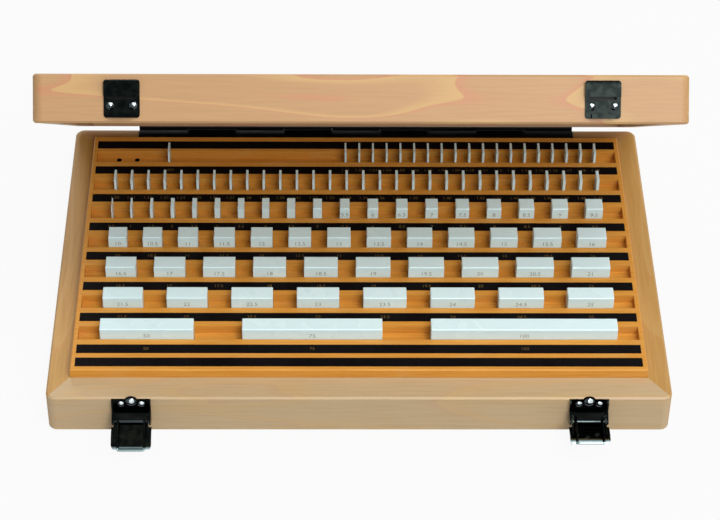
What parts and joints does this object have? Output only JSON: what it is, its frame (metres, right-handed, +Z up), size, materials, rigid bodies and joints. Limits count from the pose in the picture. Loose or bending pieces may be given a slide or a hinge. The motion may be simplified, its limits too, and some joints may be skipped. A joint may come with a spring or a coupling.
{
  "type": "gauge block set",
  "caption": "Ceramic gauge block set in a hinged beech case, stored in graduated rows in a slotted insert with label strips; the lid swings open and two draw latches close it.",
  "frame": {"origin": "centre of the underside of the wooden case", "axes": "+X along the case to the right as seen from its latches, +Y from the latches to the hinge, +Z up"},
  "size_m": [0.33, 0.2588, 0.1866],
  "materials": {
    "case_wood": "solid beech, satin lacquer",
    "insert_wood": "warm toned hardwood, satin lacquer",
    "ceramic": "lapped white zirconia",
    "label_strip": "black engraved strip with gold figures",
    "hinge_steel": "black piano hinge",
    "latch_nickel": "bright nickel plated sheet steel",
    "rivet_nickel": "bright nickel plated steel"
  },
  "bodies": {
    "base": {"base_bottom_panel": "case_wood", "base_front_rail": "case_wood", "base_left_rail": "case_wood", "base_rear_rail": "case_wood", "base_right_rail": "case_wood", "gauge_block_100": "ceramic", "gauge_block_21_5": "ceramic", "gauge_block_22": "ceramic", "gauge_block_22_5": "ceramic", "gauge_block_23": "ceramic", "gauge_block_23_5": "ceramic", "gauge_block_24": "ceramic", "gauge_block_24_5": "ceramic", "gauge_block_25": "ceramic", "gauge_block_50": "ceramic", "gauge_block_75": "ceramic", "gauge_blocks_row_1": "ceramic", "gauge_blocks_row_2": "ceramic", "gauge_blocks_row_3": "ceramic", "gauge_blocks_row_4": "ceramic", "gauge_blocks_row_5": "ceramic", "hinge_base_leaf": "hinge_steel", "hinge_base_screws": "hinge_steel", "hinge_pin": "hinge_steel", "label_strip_1": "label_strip", "label_strip_2": "label_strip", "label_strip_3": "label_strip", "label_strip_4": "label_strip", "label_strip_5": "label_strip", "label_strip_6": "label_strip", "label_strip_7": "label_strip", "label_strip_8": "label_strip", "label_strip_9": "label_strip", "latch_pin_left": "latch_nickel", "latch_pin_right": "latch_nickel", "latch_plate_left": "latch_nickel", "latch_plate_right": "latch_nickel", "latch_rivets": "rivet_nickel", "slotted_insert": "insert_wood"},
    "lid": {"catch_plate_left": "latch_nickel", "catch_plate_right": "latch_nickel", "catch_rivets": "rivet_nickel", "hinge_lid_leaf": "hinge_steel", "hinge_lid_screws": "hinge_steel", "lid_front_rail": "case_wood", "lid_left_rail": "case_wood", "lid_rear_rail": "case_wood", "lid_right_rail": "case_wood", "lid_top_panel": "case_wood"},
    "lever_left": {"latch_lever_left": "latch_nickel"},
    "lever_right": {"latch_lever_right": "latch_nickel"},
    "bail_left": {"latch_bail_left": "latch_nickel"},
    "bail_right": {"latch_bail_right": "latch_nickel"}
  },
  "joints": [
    {"name": "lid_hinge", "type": "hinge", "parent": "base", "child": "lid", "pos_m": [0, 0.1129, 0.02495], "axis": [-1, 0, 0], "range_deg": [-39.9, 140.1]},
    {"name": "lever_left_pivot", "type": "hinge", "parent": "base", "child": "lever_left", "pos_m": [-0.12, -0.116, 0.0129], "axis": [-1, 0, 0], "range_deg": [-4, 113]},
    {"name": "bail_left_eye", "type": "hinge", "parent": "lever_left", "child": "bail_left", "pos_m": [-0.12, -0.11649, 0.01584], "axis": [-1, 0, 0], "range_deg": [0, 15.5]},
    {"name": "lever_right_pivot", "type": "hinge", "parent": "base", "child": "lever_right", "pos_m": [0.121, -0.116, 0.0129], "axis": [-1, 0, 0], "range_deg": [-32, 85]},
    {"name": "bail_right_eye", "type": "hinge", "parent": "lever_right", "child": "bail_right", "pos_m": [0.121, -0.11505, 0.01573], "axis": [-1, 0, 0], "range_deg": [0, 15.5]}
  ]
}
